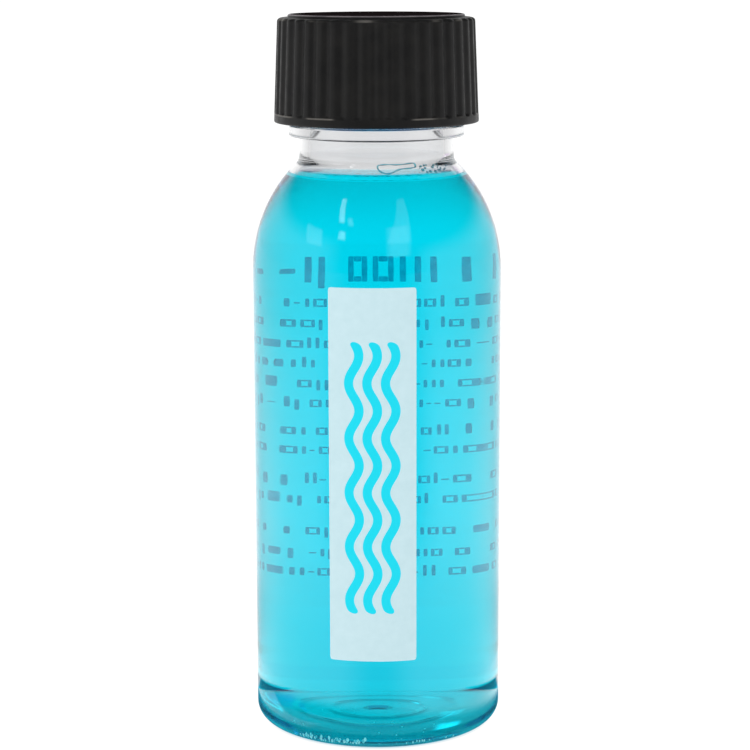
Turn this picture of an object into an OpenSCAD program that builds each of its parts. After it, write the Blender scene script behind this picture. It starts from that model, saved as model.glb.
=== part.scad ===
// Small clear bottle of mouthwash with a ribbed black screw cap.
// The bottle stands on z = 0 and its axis is the Z axis. The front label
// faces -Y. All lengths are in millimetres and all angles in degrees.

/* [Bottle body] */
// Outside diameter of the straight body
body_d = 28.7; // [28:0.1:30]
// Height at which the straight body ends and the shoulder starts
shoulder_z = 53.7; // [52.5:0.1:54.5]
// Radius of the shoulder arc, seen from the side
shoulder_r = 17; // [16.6:0.1:17.4]
// Radial width of the rounded heel
heel_w = 1.9; // [1.2:0.1:2.4]
// Height of the rounded heel
heel_h = 1.9; // [1.2:0.1:2.4]
// Width of the flat ring that the bottle stands on
foot_w = 1.1; // [0.6:0.1:1.6]
// Height of the hollow under the base
push_up = 1.3; // [0.8:0.1:2]
// Wall thickness of the body
wall = 0.6; // [0.5:0.05:1]
// Thickness of the base at its middle
base_t = 1; // [0.8:0.1:1.8]
// Diameter of the moulding gate mark under the base
gate_d = 2.2; // [1.2:0.1:3]

/* [Neck finish] */
// Outside diameter of the neck without its thread
neck_d = 17.6; // [17.4:0.05:17.7]
// Diameter over the thread of the neck
thread_d = 19.5; // [19.3:0.05:19.6]
// Diameter of the neck's bore
bore_d = 15.4; // [15:0.1:15.6]
// Height of the rim above the base
rim_z = 80.7; // [80.3:0.1:81.1]
// Diameter of the bead below the thread
bead_d = 20.1; // [19.4:0.1:20.6]
// Height of the underside of the bead
bead_z = 68.95; // [68.7:0.05:69]
// Height of the bead along the neck
bead_h = 1.3; // [0.9:0.05:1.3]

/* [Thread] */
// Rise of the thread in one turn
pitch = 4.233; // [4.1:0.001:4.3]
// Number of turns of thread on the neck
turns = 1.5; // [1.1:0.05:1.6]
// Number of turns of thread inside the cap
cap_turns = 1.25; // [1:0.05:1.35]
// Flat segments in one turn of thread
thread_steps = 36; // [24:4:48]

/* [Cap] */
// Diameter of the plain band at the foot of the cap
cap_d = 23.45; // [23.1:0.05:24]
// Height of the underside of the cap above the base
cap_z = 70.5; // [70.3:0.05:70.8]
// Height of the cap
cap_h = 12.2; // [12:0.05:12.4]
// Height of the plain band
band_h = 0.9; // [0.6:0.1:1.3]
// How far the side leans inwards over its height
draft = 0.45; // [0.2:0.05:0.55]
// Diameter of the raised disc on top
disc_d = 20.2; // [19:0.1:20.6]
// Height of the raised disc
disc_h = 0.32; // [0.2:0.02:0.5]
// Number of grip grooves around the cap
grooves = 40; // [30:1:44]
// Depth of a grip groove
groove_depth = 0.3; // [0.15:0.05:0.4]
// Radius of the round bar that shapes a groove
groove_r = 0.62; // [0.5:0.02:0.7]
// Diameter of the cap's bore
cap_bore_d = 20; // [19.9:0.05:20.1]

/* [Liner] */
// Thickness of the sealing disc inside the cap
liner_t = 0.8; // [0.6:0.05:0.8]
// Diameter of the sealing disc
liner_d = 19.2; // [18.6:0.1:19.4]

/* [Fill] */
// Height of the liquid's surface
fill_z = 65.1; // [40:0.1:65.4]
// Rise of the liquid where it wets the wall
meniscus = 0.4; // [0.1:0.05:0.5]

/* [Labels] */
// Width of the front label, along the curve
front_w = 9.9; // [6:0.1:20]
// Height of the front label
front_h = 42.6; // [20:0.1:42.8]
// Height of the front label's lower edge
front_z = 10.7; // [5:0.1:10.7]
// Turn of the front label about the bottle, seen from above
front_turn = -2.3; // [-8:0.1:8]
// Width of the clear back label, along the curve
back_w = 31; // [16:0.5:40]
// Height of the clear back label
back_h = 42.6; // [20:0.2:42.6]
// Height of the back label's lower edge
back_z = 11; // [5:0.5:11]
// Thickness of a label
label_t = 0.08; // [0.05:0.01:0.12]

/* [Hidden] */
$fn = 96;
R = body_d / 2;
neck_r = neck_d / 2;
bore_r = bore_d / 2;
bead_r = bead_d / 2;
cap_r = cap_d / 2;
cap_top_z = cap_z + cap_h;
cap_bore_r = cap_bore_d / 2;
ceiling_z = rim_z + liner_t + 0.04;
disc_r = disc_d / 2;
shelf_z = cap_top_z - disc_h;
rib_top_r = cap_r - draft;
foot_r = R - heel_w;
foot_in = foot_r - foot_w;

// The shoulder arc has its centre on the level where the body ends.
arc_c = R - shoulder_r;
// Radius at which the arc hands over to the fillet under the neck.
blend_r = neck_r + 0.45;
blend_a = acos((blend_r - arc_c) / shoulder_r);
blend_z = shoulder_z + shoulder_r * sin(blend_a);
// The fillet is an arc that leaves along the shoulder and ends upright.
fillet_r = (blend_r - neck_r - 0.12) / (1 - sin(90 - blend_a));
fillet_c = neck_r + 0.12 + fillet_r;
fillet_z = blend_z + fillet_r * cos(90 - blend_a);

// Points of an arc about [cx, cz] with radii [rx, rz], from a0 to a1.
function arc(cx, cz, rx, rz, a0, a1, n) =
    [for (i = [0:n]) let (a = a0 + (a1 - a0) * i / n) [cx + rx * cos(a), cz + rz * sin(a)]];

// Outside of the bottle, from the middle of the base to the rim.
function outside() = concat(
    [[0, push_up]],
    arc(0, 0.12, foot_in, push_up - 0.12, 80, 0, 9),
    [[foot_in + 0.06, 0], [foot_r, 0]],
    arc(R - heel_w, heel_h, heel_w, heel_h, -80, 0, 8),
    arc(arc_c, shoulder_z, shoulder_r, shoulder_r, 0, blend_a, 24),
    arc(fillet_c, fillet_z, -fillet_r, fillet_r, -90 + blend_a - 0.001, 0, 6),
    [[neck_r, fillet_z + 0.9],
     [neck_r, bead_z - 0.18], [neck_r + 0.12, bead_z - 0.05]],
    [[bead_r - 0.3, bead_z], [bead_r, bead_z + 0.28],
     [bead_r, bead_z + bead_h - 0.2], [bead_r - 0.22, bead_z + bead_h],
     [neck_r + 0.12, bead_z + bead_h], [neck_r, bead_z + bead_h + 0.12],
     [neck_r, rim_z - 0.35], [neck_r - 0.1, rim_z - 0.1], [neck_r - 0.35, rim_z]]);

// Inside of the bottle, from the middle of the base up to the rim. The wall
// follows the heel at an even thickness, and thickens from the body to the neck.
in_r = R - wall;
in_arc = shoulder_r - wall;
in_blend_a = acos((bore_r + 0.5 - arc_c) / in_arc);
in_blend_z = shoulder_z + in_arc * sin(in_blend_a);
function inside() = concat(
    [[0, push_up + base_t]],
    arc(0, wall + 0.02, foot_in, push_up + base_t - wall - 0.02, 80, 14, 7),
    arc(R - heel_w, heel_h, heel_w - wall, heel_h - wall, -80, 0, 7),
    arc(arc_c, shoulder_z, in_arc, in_arc, 0, in_blend_a, 22),
    [[bore_r + 0.2, in_blend_z + 0.45], [bore_r + 0.05, in_blend_z + 1],
     [bore_r, in_blend_z + 1.7], [bore_r, rim_z - 0.25], [bore_r + 0.2, rim_z]]);

function reversed(v) = [for (i = [len(v) - 1:-1:0]) v[i]];

// A helical ridge with a trapezoid section, as one closed shell. r0 is its
// root radius and r1 its crest radius; w0 and w1 are its widths there. It
// fades in and out over the first and last eighth of a turn.
module ridge(r0, r1, w0, w1, z0, n_turns, steps) {
    n = round(n_turns * steps);
    function fade(i) = min(1, 0.12 + 0.88 * min(i, n - i) / (steps / 8));
    function ring(i) = let (a = 360 * i / steps, f = fade(i),
            re = r0 + (r1 - r0) * f, z = z0 + pitch * i / steps)
        [for (q = [[r0, -w0 / 2], [re, -w1 / 2 - (w0 - w1) / 2 * (1 - f)],
                   [re, w1 / 2 + (w0 - w1) / 2 * (1 - f)], [r0, w0 / 2]])
            [q[0] * cos(a), q[0] * sin(a), z + q[1]]];
    pts = [for (i = [0:n]) each ring(i)];
    flip = r1 < r0;
    sides = [for (i = [0:n - 1], k = [0:3])
        let (a = 4 * i + k, b = 4 * i + (k + 1) % 4, c = b + 4, d = a + 4)
        each (flip ? [[a, c, b], [a, d, c]] : [[a, b, c], [a, c, d]])];
    ends = flip ? [[0, 1, 2], [0, 2, 3], [4 * n, 4 * n + 2, 4 * n + 1], [4 * n, 4 * n + 3, 4 * n + 2]]
                : [[0, 2, 1], [0, 3, 2], [4 * n, 4 * n + 1, 4 * n + 2], [4 * n, 4 * n + 2, 4 * n + 3]];
    polyhedron(points = pts, faces = concat(sides, ends), convexity = 8);
}

// Height of the middle of the neck's thread where it starts, on +X.
thread_z = rim_z - 1.9 - pitch * turns;

// Angle at which the cap's thread starts, seen from above.
cap_start = 124;

// The blown bottle, one piece from its base to its threaded neck.
module bottle() {
    color([0.86, 0.95, 0.97, 0.35]) {
        rotate_extrude($fn = 128) polygon(concat(outside(), reversed(inside())));
        ridge(neck_r - 0.25, thread_d / 2, 2.1, 0.8, thread_z, turns, thread_steps);
        // Mark left by the gate of the mould.
        translate([0, 0, push_up - 0.45]) cylinder(h = 0.6, d = gate_d);
    }
}

// Points of the inside that the liquid wets, below its surface.
function wetted(top) = [for (q = inside()) if (q[1] < top - 0.05) q];
// Inside radius of the bottle at height z, by following its points.
function inside_r(z, i = 1) = let (v = inside())
    i >= len(v) ? bore_r
    : v[i][1] >= z && v[i - 1][1] < z && i > 8
        ? v[i - 1][0] + (v[i][0] - v[i - 1][0]) * (z - v[i - 1][1]) / (v[i][1] - v[i - 1][1])
        : inside_r(z, i + 1);

// The mouthwash. It fills the bottle up to the shoulder and climbs the wall a little.
module liquid() {
    edge_z = fill_z + meniscus;
    edge_r = inside_r(edge_z);
    color([0.1, 0.8, 0.88, 0.6])
        rotate_extrude($fn = 128) polygon(concat(
            wetted(edge_z),
            [[edge_r, edge_z], [edge_r - 0.25, fill_z + meniscus * 0.45],
             [edge_r - 0.7, fill_z + meniscus * 0.12], [edge_r - 1.4, fill_z], [0, fill_z]]));
}

// A label that follows the body: an arc of thin wall, turned about the axis.
module label(w, h, z, mid) {
    half = w / 2 / R * 180 / PI;
    n = 8;
    reach = R * 1.3;
    translate([0, 0, z]) intersection() {
        difference() {
            cylinder(h = h, r = R + label_t, $fn = 128);
            translate([0, 0, -1]) cylinder(h = h + 2, r = R, $fn = 128);
        }
        linear_extrude(height = h) polygon(concat([[0, 0]],
            [for (i = [0:n]) let (a = mid - half + 2 * half * i / n) [reach * cos(a), reach * sin(a)]]));
    }
}

// The opaque pale panel on the front.
module front_label() {
    color([0.8, 0.91, 0.94]) label(front_w, front_h, front_z, 270 + front_turn);
}

// The clear label on the back.
module back_label() {
    color([0.75, 0.93, 0.96, 0.4]) label(back_w, back_h, back_z, 90);
}

// The sealing disc that lies on the rim under the cap's ceiling.
module cap_liner() {
    color([0.93, 0.93, 0.9])
        translate([0, 0, rim_z + 0.02]) cylinder(h = liner_t, d = liner_d);
}

// Section of the cap, from its top around the outside and back up the bore.
function cap_section() = concat(
    [[0, cap_top_z], [disc_r - 0.22, cap_top_z], [disc_r - 0.06, cap_top_z - 0.08],
     [disc_r, shelf_z], [disc_r + 0.06, shelf_z]],
    arc(rib_top_r - 0.55, shelf_z - 0.5, 0.55, 0.46, 75, 0, 5),
    [[cap_r, cap_z + 0.15], [cap_r - 0.15, cap_z],
     [cap_bore_r + 0.35, cap_z], [cap_bore_r, cap_z + 0.35],
     [cap_bore_r, ceiling_z - 0.3], [cap_bore_r - 0.3, ceiling_z], [0, ceiling_z]]);

// The ribbed cap with its own thread inside.
module cap() {
    side_a = atan((cap_r - rib_top_r) / (shelf_z - 0.5 - cap_z - 0.15));
    color([0.12, 0.12, 0.125]) {
        difference() {
            rotate_extrude($fn = 160) polygon(cap_section());
            for (i = [0:grooves - 1])
                rotate([0, 0, 360 * (i + 0.78) / grooves])
                    translate([cap_r + groove_r - groove_depth, 0, cap_z + band_h])
                        rotate([0, -side_a, 0])
                            cylinder(h = cap_h, r = groove_r, $fn = 24);
        }
        // The cap's thread lies just under the neck's thread when it is closed.
        // It starts about a third of a turn later, clear of the cap's mouth.
        rotate([0, 0, cap_start])
            ridge(cap_bore_r + 0.25, neck_r + 0.25, 2.1, 0.8,
                  thread_z - pitch / 2 + 0.42 + pitch * cap_start / 360,
                  cap_turns, thread_steps);
    }
}

bottle();
liquid();
front_label();
back_label();
cap_liner();
cap();
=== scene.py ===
import math
import random

import bpy
import numpy as np
from mathutils import Euler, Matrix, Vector


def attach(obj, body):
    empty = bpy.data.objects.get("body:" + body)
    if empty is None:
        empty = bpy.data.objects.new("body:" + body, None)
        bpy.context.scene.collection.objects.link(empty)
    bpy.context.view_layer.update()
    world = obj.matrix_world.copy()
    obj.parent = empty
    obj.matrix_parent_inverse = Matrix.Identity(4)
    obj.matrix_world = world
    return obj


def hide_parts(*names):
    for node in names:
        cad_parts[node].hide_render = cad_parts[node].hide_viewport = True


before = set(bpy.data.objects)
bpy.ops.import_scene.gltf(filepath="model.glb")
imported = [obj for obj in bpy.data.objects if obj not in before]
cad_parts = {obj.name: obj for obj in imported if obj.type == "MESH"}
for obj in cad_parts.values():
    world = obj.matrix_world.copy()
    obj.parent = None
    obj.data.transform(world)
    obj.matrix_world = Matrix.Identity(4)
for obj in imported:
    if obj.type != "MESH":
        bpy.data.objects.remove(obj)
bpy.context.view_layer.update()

MM = 0.001
TAU = 2 * math.pi

# ------------------------------------------------------------------ sizes, in mm
R = 14.35            # body radius
SHOULDER_Z = 53.7
SHOULDER_R = 17.0
HEEL = 1.9
FOOT_R = R - HEEL
FOOT_IN = FOOT_R - 1.1
PUSH_UP = 1.3
WALL = 0.6
BASE_T = 1.0
NECK_R = 8.8
THREAD_R = 9.75
BORE_R = 7.7
RIM_Z = 80.7
BEAD_R = 10.05
BEAD_Z = 68.95
BEAD_H = 1.3
PITCH = 4.233
TURNS = 1.5
CAP_TURNS = 1.25
CAP_START = 124.0
CAP_R = 11.725
CAP_Z = 70.5
CAP_TOP = 82.7
DISC_R = 10.1
SHELF_Z = CAP_TOP - 0.32
RIB_TOP_R = CAP_R - 0.45
CAP_BORE_R = 10.0
CEILING_Z = RIM_Z + 0.84
FILL_Z = 65.1
LABEL_T = 0.08
FRONT_W, FRONT_H, FRONT_Z, FRONT_TURN = 9.9, 42.6, 10.7, -2.3
BACK_W, BACK_H, BACK_Z = 31.0, 42.6, 11.0
THREAD_Z = RIM_Z - 1.9 - PITCH * TURNS


def arc(cx, cz, rx, rz, a0, a1, n):
    """Points of an arc about (cx, cz), both ends included, angles in degrees."""
    out = []
    for i in range(n + 1):
        a = math.radians(a0 + (a1 - a0) * i / n)
        out.append((cx + rx * math.cos(a), cz + rz * math.sin(a)))
    return out


def line(p, q, n):
    """Points from p to q without q."""
    return [(p[0] + (q[0] - p[0]) * i / n, p[1] + (q[1] - p[1]) * i / n) for i in range(n)]


def soft(points, radius, n=4):
    """Rounds every corner of an open run of points, apart from its ends."""
    out = [points[0]]
    for a, b, c in zip(points, points[1:], points[2:]):
        a, b, c = np.array(a), np.array(b), np.array(c)
        la, lc = np.linalg.norm(a - b), np.linalg.norm(c - b)
        r = min(radius, la * 0.45, lc * 0.45)
        p, q = b + (a - b) / la * r, b + (c - b) / lc * r
        for i in range(n + 1):
            t = i / n
            out.append(tuple((1 - t) ** 2 * p + 2 * t * (1 - t) * b + t * t * q))
    out.append(points[-1])
    return out


def smoothstep(x):
    x = np.clip(x, 0.0, 1.0)
    return x * x * (3 - 2 * x)


# ------------------------------------------------------------------ mesh helpers
def mesh_object(name, verts, faces, smooth=True, sharp=None):
    me = bpy.data.meshes.new(name)
    me.from_pydata([tuple(v) for v in verts], [], faces)
    me.validate(clean_customdata=False)
    me.update()
    if smooth:
        me.polygons.foreach_set("use_smooth", [True] * len(me.polygons))
    ob = bpy.data.objects.new(name, me)
    bpy.context.scene.collection.objects.link(ob)
    if sharp is not None:
        me.set_sharp_from_angle(angle=math.radians(sharp))
    return ob


def revolve(rings, angles, start_pole=None, end_pole=None, close=False):
    """Vertices and quads from rings of (radius array, height array), one value for each angle.
    A pole closes an end on the axis. close joins the last ring to the first."""
    n = len(angles)
    ca, sa = np.cos(angles), np.sin(angles)
    verts, faces = [], []
    for r, z in rings:
        r = np.broadcast_to(np.asarray(r, float), (n,))
        z = np.broadcast_to(np.asarray(z, float), (n,))
        verts.extend(np.stack([r * ca, r * sa, z], 1) * MM)
    m = len(rings)
    for k in range(m if close else m - 1):
        a, b = k * n, ((k + 1) % m) * n
        for i in range(n):
            j = (i + 1) % n
            faces.append((a + i, a + j, b + j, b + i))
    if start_pole is not None:
        p = len(verts)
        verts.append(np.array([0, 0, start_pole * MM]))
        for i in range(n):
            faces.append((p, (i + 1) % n, i))
    if end_pole is not None:
        p = len(verts)
        verts.append(np.array([0, 0, end_pole * MM]))
        a = (m - 1) * n
        for i in range(n):
            faces.append((p, a + i, a + (i + 1) % n))
    return verts, faces


def thread_height(theta, z, z0, turns, start=0.0):
    """Height share, 0 to 1, of a helical ridge at angle theta (radians) and height z in mm."""
    best = np.zeros_like(theta)
    base = ((np.degrees(theta) - start) % 360.0) / 360.0
    for k in range(3):
        t = base + k
        mid = z0 + PITCH * t
        fade = smoothstep(np.minimum(t, turns - t) / 0.14 + 0.02)
        fade = np.where((t < 0) | (t > turns), 0.0, fade)
        d = np.abs(z - mid)
        h = smoothstep((1.05 - d) / 0.6) * fade
        best = np.maximum(best, h)
    return best


# ------------------------------------------------------------------ the bottle
arc_c = R - SHOULDER_R
blend_r = NECK_R + 0.45
blend_a = math.degrees(math.acos((blend_r - arc_c) / SHOULDER_R))
blend_z = SHOULDER_Z + SHOULDER_R * math.sin(math.radians(blend_a))
fillet_r = (blend_r - NECK_R - 0.12) / (1 - math.sin(math.radians(90 - blend_a)))
fillet_c = NECK_R + 0.12 + fillet_r
fillet_z = blend_z + fillet_r * math.cos(math.radians(90 - blend_a))

in_arc = SHOULDER_R - WALL
in_blend_a = math.degrees(math.acos((BORE_R + 0.5 - arc_c) / in_arc))
in_blend_z = SHOULDER_Z + in_arc * math.sin(math.radians(in_blend_a))


def outside_low():
    """Outside from near the middle of the base to the foot of the thread."""
    pts = []
    # gate mark: a small flat button with a rounded edge
    pts += [(0.35, PUSH_UP - 0.42), (0.8, PUSH_UP - 0.42), (0.98, PUSH_UP - 0.40), (1.08, PUSH_UP - 0.33), (1.1, PUSH_UP - 0.22)]
    dome = arc(0, 0.12, FOOT_IN, PUSH_UP - 0.12, 83.5, 0, 70)
    # two faint moulded rings around the gate mark
    for r, z in dome:
        z += 0.10 * math.exp(-((r - 4.1) / 0.28) ** 2) + 0.08 * math.exp(-((r - 6.9) / 0.3) ** 2)
        pts.append((r, z))
    pts += [(FOOT_IN + 0.05, 0.03), (FOOT_IN + 0.2, 0.0), (FOOT_IN + 0.55, 0.0), (FOOT_R - 0.2, 0.0)]
    pts += arc(R - HEEL, HEEL, HEEL, HEEL, -88, 0, 18)
    pts += line((R, HEEL + 1.2), (R, SHOULDER_Z), 8)
    pts += arc(arc_c, SHOULDER_Z, SHOULDER_R, SHOULDER_R, 0, blend_a, 56)
    pts += arc(fillet_c, fillet_z, -fillet_r, fillet_r, -90 + blend_a - 0.001, 0, 10)[1:]
    pts += [(NECK_R, fillet_z + 0.9)]
    bead = soft([(NECK_R, fillet_z + 1.1), (NECK_R, BEAD_Z - 0.12), (NECK_R + 0.1, BEAD_Z),
                 (BEAD_R, BEAD_Z), (BEAD_R, BEAD_Z + BEAD_H), (NECK_R + 0.05, BEAD_Z + BEAD_H),
                 (NECK_R, BEAD_Z + BEAD_H + 0.25)], 0.22, 5)
    return pts + bead


def inside():
    """Inside from the middle of the base up to the rim."""
    pts = [(0.5, PUSH_UP + BASE_T)]
    pts += arc(0, WALL + 0.02, FOOT_IN, PUSH_UP + BASE_T - WALL - 0.02, 84, 12, 22)
    pts += arc(R - HEEL, HEEL, HEEL - WALL, HEEL - WALL, -82, 0, 14)
    pts += line((R - WALL, 3.6), (R - WALL, SHOULDER_Z), 8)
    pts += arc(arc_c, SHOULDER_Z, in_arc, in_arc, 0, in_blend_a, 48)
    top = soft([(BORE_R + 0.5, in_blend_z), (BORE_R + 0.2, in_blend_z + 0.45), (BORE_R + 0.05, in_blend_z + 1.0),
                (BORE_R, in_blend_z + 1.7), (BORE_R, RIM_Z - 0.6)], 0.5, 4)
    return pts + top[1:]


def build_bottle():
    n = 256
    ang = np.arange(n) * TAU / n
    rings = [(r, z) for r, z in outside_low()]
    z = BEAD_Z + BEAD_H + 0.4
    while z < RIM_Z - 0.45:
        h = thread_height(ang, z, THREAD_Z, TURNS)
        rings.append((NECK_R + (THREAD_R - NECK_R) * h, z))
        z += 0.16
    rings += [(r, z) for r, z in arc(NECK_R - 0.35, RIM_Z - 0.35, 0.35, 0.35, 0, 90, 7)]
    rings += [(r, z) for r, z in line((NECK_R - 0.5, RIM_Z), (BORE_R + 0.3, RIM_Z), 2)]
    rings += [(r, z) for r, z in arc(BORE_R + 0.22, RIM_Z - 0.22, -0.22, 0.22, 90, 0, 5)]
    rings += [(r, z) for r, z in reversed(inside())]
    v, f = revolve(rings, ang, start_pole=PUSH_UP - 0.42, end_pole=PUSH_UP + BASE_T + 0.003)
    f = [tuple(reversed(q)) if len(q) == 4 else q for q in f]
    return v, f


def oriented(ob):
    """Turns the normals outwards."""
    import bmesh
    bm = bmesh.new()
    bm.from_mesh(ob.data)
    bmesh.ops.recalc_face_normals(bm, faces=bm.faces)
    if bm.calc_volume(signed=True) < 0:
        bmesh.ops.reverse_faces(bm, faces=bm.faces)
    bm.to_mesh(ob.data)
    bm.free()
    ob.data.update()
    return ob


v, f = build_bottle()
bottle = oriented(mesh_object("bottle_shell", v, f, sharp=38))
WET_Z = FILL_Z - 0.55

# ------------------------------------------------------------------ the liquid
LAP = 0.05   # how far the liquid reaches into the wall, so that no gap of air is left
TOP_Z, EDGE_Z = FILL_Z - 0.03, FILL_Z - 0.55


def inside_r(z):
    pts = [p for p in inside() if p[1] > 3.5]
    for a, b in zip(pts, pts[1:]):
        if a[1] <= z <= b[1]:
            return a[0] + (b[0] - a[0]) * (z - a[1]) / max(1e-9, b[1] - a[1])
    return BORE_R


def build_liquid():
    n = 192
    ang = np.arange(n) * TAU / n
    rings = []
    pts = inside()
    for i, (r, z) in enumerate(pts):
        if z > EDGE_Z - 0.05:
            break
        a = pts[max(0, i - 1)]
        b = pts[i + 1]
        t = np.array([b[0] - a[0], b[1] - a[1]])
        t = t / max(1e-9, np.linalg.norm(t))
        rings.append((r + t[1] * LAP, z - t[0] * LAP))
    # the surface bends down to the wall that leans over it
    edge = inside_r(EDGE_Z) + LAP
    rings.append((edge, EDGE_Z))
    surf = []
    for i in range(1, 33):
        d = 4.0 * (i / 32) ** 2          # distance from the wall
        surf.append((edge - LAP - d, TOP_Z - (TOP_Z - EDGE_Z) * math.exp(-d / 0.5)))
    rings += surf
    r0 = surf[-1][0]
    for i in range(1, 8):
        rings.append((r0 * (1 - i / 8), TOP_Z))
    v, f = revolve(rings, ang, start_pole=PUSH_UP + BASE_T - LAP, end_pole=TOP_Z)
    return v, f


v, f = build_liquid()
liquid = oriented(mesh_object("liquid_fill", v, f, sharp=60))


def ball(centre, radius, squash=1.0, up=None, nu=12, nv=7):
    """Vertices and faces of a small round bubble or bead, with its normals outwards. up is the direction it is flattened along."""
    c = np.array(centre, float)
    if up is None:
        up = np.array([0.0, 0.0, 1.0])
    up = np.array(up, float) / np.linalg.norm(up)
    a = np.cross(up, [0.3, 0.8, 0.52])
    a /= np.linalg.norm(a)
    b2 = np.cross(up, a)
    vs = [c - up * radius * squash]
    for k in range(1, nv):
        t = math.pi * k / nv
        for i in range(nu):
            p = TAU * i / nu
            vs.append(c + radius * math.sin(t) * (math.cos(p) * a + math.sin(p) * b2) - up * radius * squash * math.cos(t))
    vs.append(c + up * radius * squash)
    fs = []
    for i in range(nu):
        j = (i + 1) % nu
        fs.append((0, 1 + j, 1 + i))
        for k in range(nv - 2):
            q = 1 + k * nu
            fs.append((q + i, q + j, q + nu + j, q + nu + i))
        q = 1 + (nv - 2) * nu
        fs.append((q + i, q + j, len(vs) - 1))
    return [tuple(v * MM) for v in vs], fs


def join(parts):
    vs, fs = [], []
    for v, f in parts:
        off = len(vs)
        vs += v
        fs += [tuple(i + off for i in q) for q in f]
    return vs, fs


rng = random.Random(7)
specks = []
taken = []


def floor_of_liquid(r):
    """Height of the inside of the base at radius r."""
    pts = [p for p in inside() if p[1] < 3.0]
    for a, b in zip(pts, pts[1:]):
        if a[0] <= r <= b[0]:
            return a[1] + (b[1] - a[1]) * (r - a[0]) / max(1e-9, b[0] - a[0])
    return 1.0


def try_bubble(turn, r, size):
    a = math.radians(turn - 90)
    z = floor_of_liquid(r) + size + 0.03 + rng.random() * 0.06
    if r + size > R - WALL - 0.12 and z < 1.9:
        r = R - WALL - 0.3 - size
        z = max(z, floor_of_liquid(r) + size + 0.04)
    c = np.array([r * math.cos(a), r * math.sin(a), z])
    for q, w in taken:
        if np.linalg.norm(q - c) < w + size + 0.04:
            return
    taken.append((c, size))
    specks.append(ball(c, size, nu=8, nv=5))


for _ in range(90):
    try_bubble(rng.uniform(-43, -6), rng.uniform(11.9, 13.0), rng.uniform(0.07, 0.17))
for _ in range(16):
    try_bubble(rng.uniform(12, 42), rng.uniform(12.3, 13.0), rng.uniform(0.05, 0.12))
for _ in range(14):
    try_bubble(rng.uniform(-60, 60), rng.uniform(4.0, 12.0), rng.uniform(0.05, 0.10))
v, f = join(specks)
fizz = oriented(mesh_object("heel_bubbles", v, f, sharp=60))


# beads and a thin loop of liquid that cling to the inside of the shoulder, just above the surface
def wall_point(turn, z, depth):
    """A point on the inside wall at a turn from the front towards +X, and the wall's direction inwards there."""
    r0, r1 = inside_r(z - 0.1), inside_r(z + 0.1)
    n = np.array([-0.2, r1 - r0])
    n /= np.linalg.norm(n)
    a = math.radians(turn - 90)
    r = inside_r(z)
    inward = np.array([n[0] * math.cos(a), n[0] * math.sin(a), n[1]])
    return np.array([r * math.cos(a), r * math.sin(a), z]) + inward * depth, inward


def tube(points, radii, n=8):
    """A closed loop of round section through the points."""
    pts = [np.array(p) for p in points]
    m = len(pts)
    vs, fs = [], []
    for k in range(m):
        t = pts[(k + 1) % m] - pts[k - 1]
        t /= np.linalg.norm(t)
        a = np.cross(t, [0.1, 0.9, 0.4])
        a /= np.linalg.norm(a)
        b2 = np.cross(t, a)
        for i in range(n):
            p = TAU * i / n
            vs.append(tuple((pts[k] + radii[k] * (math.cos(p) * a + math.sin(p) * b2)) * MM))
    for k in range(m):
        for i in range(n):
            j = (i + 1) % n
            q, w = k * n, ((k + 1) % m) * n
            fs.append((q + i, q + j, w + j, w + i))
    return vs, fs


loop = []
corners = [(0.6, 66.02), (1.4, 66.20), (4.0, 66.28), (9.0, 66.30), (15.0, 66.26), (21.0, 66.30), (26.5, 66.38), (30.5, 66.36),
           (30.8, 65.92), (26.5, 65.78), (21.0, 65.74), (16.5, 65.66), (12.5, 65.42), (9.0, 65.27), (5.5, 65.30), (2.4, 65.50), (1.0, 65.76)]
m = len(corners)
for k in range(m):
    p0, p1, p2, p3 = (np.array(corners[(k + d) % m]) for d in (-1, 0, 1, 2))
    for i in range(5):
        t = i / 5
        loop.append(0.5 * (2 * p1 + (p2 - p0) * t + (2 * p0 - 5 * p1 + 4 * p2 - p3) * t * t + (3 * p1 - p0 - 3 * p2 + p3) * t ** 3))
rng = random.Random(11)
clings = [tube([wall_point(t, z, 0.11)[0] for t, z in loop], [0.085 + 0.02 * math.sin(k * 0.7) for k in range(len(loop))])]
loop_n = len(clings[0][1])
spots = []
for _ in range(120):
    turn, z, size = rng.uniform(33, 62), rng.uniform(65.2, 66.1), rng.uniform(0.09, 0.22)
    if any(math.hypot((turn - t) * 0.15, z - q) < size + w + 0.02 for t, q, w in spots) or len(spots) > 22:
        continue
    spots.append((turn, z, size))
    c, inward = wall_point(turn, z, size * 0.45 + 0.02)
    clings.append(ball(c, size, 0.45, inward))
v, f = join(clings)
beads = oriented(mesh_object("surface_beads", v, f, sharp=60))

# ------------------------------------------------------------------ labels


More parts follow.
